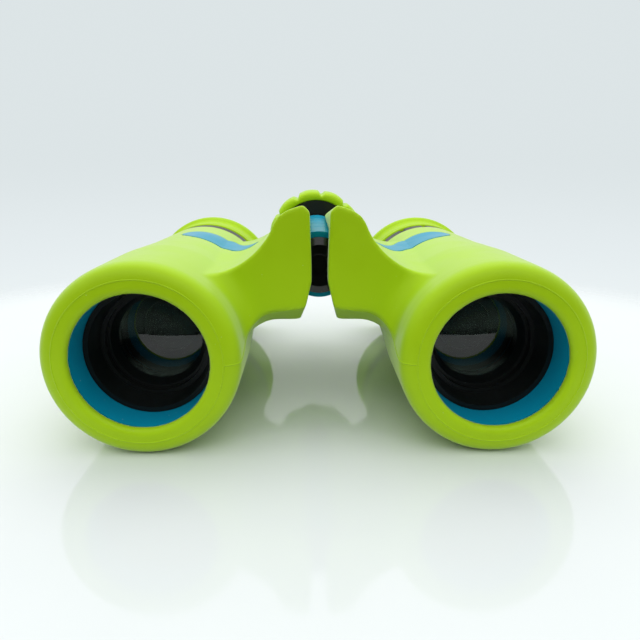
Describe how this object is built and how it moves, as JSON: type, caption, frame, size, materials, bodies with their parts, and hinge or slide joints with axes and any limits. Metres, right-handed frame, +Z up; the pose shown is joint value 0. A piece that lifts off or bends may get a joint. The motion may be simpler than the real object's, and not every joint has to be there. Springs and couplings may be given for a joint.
{
  "type": "compact roof prism binocular",
  "caption": "Hand-held compact binocular with rubber-armoured barrels on a centre hinge, centre focusing wheel, coupled sliding objectives and a dioptre ring.",
  "frame": {"origin": "on the table under the middle of the object, halfway between the objective rings and the eyecup rims", "axes": "+X across the two barrels, +Y from the objectives towards the eyes, +Z up"},
  "size_m": [0.1134, 0.097, 0.048],
  "materials": {
    "lime_rubber": "matt moulded soft-touch",
    "lime_eyecup": "matt moulded, soft",
    "lime_wheel": "matt moulded, lobed",
    "blue_plastic": "satin moulded",
    "black_plastic": "matt, ridged against stray light",
    "black_gloss": "gloss",
    "steel": "turned",
    "brass": "turned",
    "coated_lens": "polished, anti-reflection coated",
    "lens_glass": "polished",
    "prism_glass": "polished faces"
  },
  "bodies": {
    "hinge_core": {"hinge_sleeve": "blue_plastic", "hinge_cap": "black_gloss", "hinge_axle": "steel", "hinge_washer": "steel"},
    "left_barrel": {"left_housing": "blue_plastic", "left_armour": "lime_rubber", "left_prism_cage": "black_plastic", "left_half_pentaprism": "prism_glass", "left_roof_prism": "prism_glass", "left_eyepiece_tube": "black_plastic", "left_field_lens": "lens_glass", "left_eye_lens": "lens_glass", "left_eyepiece_retainer": "black_plastic", "left_eyecup": "lime_eyecup", "left_collar": "blue_plastic"},
    "right_barrel": {"right_housing": "blue_plastic", "right_armour": "lime_rubber", "right_prism_cage": "black_plastic", "right_half_pentaprism": "prism_glass", "right_roof_prism": "prism_glass"},
    "left_objective": {"left_objective_cell": "black_plastic", "left_objective_retainer": "black_plastic", "left_crown_lens": "coated_lens", "left_flint_lens": "lens_glass", "left_drive_arm": "steel"},
    "right_objective": {"right_objective_cell": "black_plastic", "right_objective_retainer": "black_plastic", "right_crown_lens": "coated_lens", "right_flint_lens": "lens_glass", "right_drive_arm": "steel"},
    "focus_spool": {"focus_spool": "brass"},
    "focus_wheel": {"focus_spindle": "brass", "focus_wheel_core": "blue_plastic", "focus_wheel_cap": "black_gloss", "focus_wheel_grip": "lime_wheel"},
    "right_eyepiece": {"right_eyepiece_tube": "black_plastic", "right_field_lens": "lens_glass", "right_eye_lens": "lens_glass", "right_eyepiece_retainer": "black_plastic", "right_eyecup": "lime_eyecup"},
    "dioptre_ring": {"right_dioptre_ring": "blue_plastic"}
  },
  "joints": [
    {"name": "left_fold", "type": "hinge", "parent": "hinge_core", "child": "left_barrel", "pos_m": [0, 0, 0.0345], "axis": [0, 1, 0], "range_deg": [-15, 7.5]},
    {"name": "right_fold", "type": "hinge", "parent": "hinge_core", "child": "right_barrel", "pos_m": [0, 0, 0.0345], "axis": [0, 1, 0], "range_deg": [-7.5, 15]},
    {"name": "focus_turn", "type": "hinge", "parent": "hinge_core", "child": "focus_wheel", "pos_m": [0, 0, 0.0345], "axis": [0, 1, 0], "range_deg": [-225, 225]},
    {"name": "spool_slide", "type": "slide", "parent": "hinge_core", "child": "focus_spool", "axis": [0, 1, 0], "range_m": [-0.00188, 0.00188]},
    {"name": "left_objective_slide", "type": "slide", "parent": "left_barrel", "child": "left_objective", "axis": [0, 1, 0], "range_m": [-0.00188, 0.00188]},
    {"name": "right_objective_slide", "type": "slide", "parent": "right_barrel", "child": "right_objective", "axis": [0, 1, 0], "range_m": [-0.00188, 0.00188]},
    {"name": "dioptre_turn", "type": "hinge", "parent": "right_barrel", "child": "dioptre_ring", "pos_m": [0.034, 0, 0.019], "axis": [0, 1, 0], "range_deg": [-35, 35]},
    {"name": "dioptre_slide", "type": "slide", "parent": "right_barrel", "child": "right_eyepiece", "axis": [0, 1, 0], "range_m": [-0.001, 0.001]}
  ],
  "couplings": [
    {"joint": "right_fold", "follows": "left_fold", "ratio": -1},
    {"joint": "spool_slide", "follows": "focus_turn", "m_per_rad": 0.00047746},
    {"joint": "left_objective_slide", "follows": "focus_turn", "m_per_rad": 0.00047746},
    {"joint": "right_objective_slide", "follows": "focus_turn", "m_per_rad": 0.00047746},
    {"joint": "dioptre_slide", "follows": "dioptre_turn", "m_per_rad": 0.001637}
  ]
}
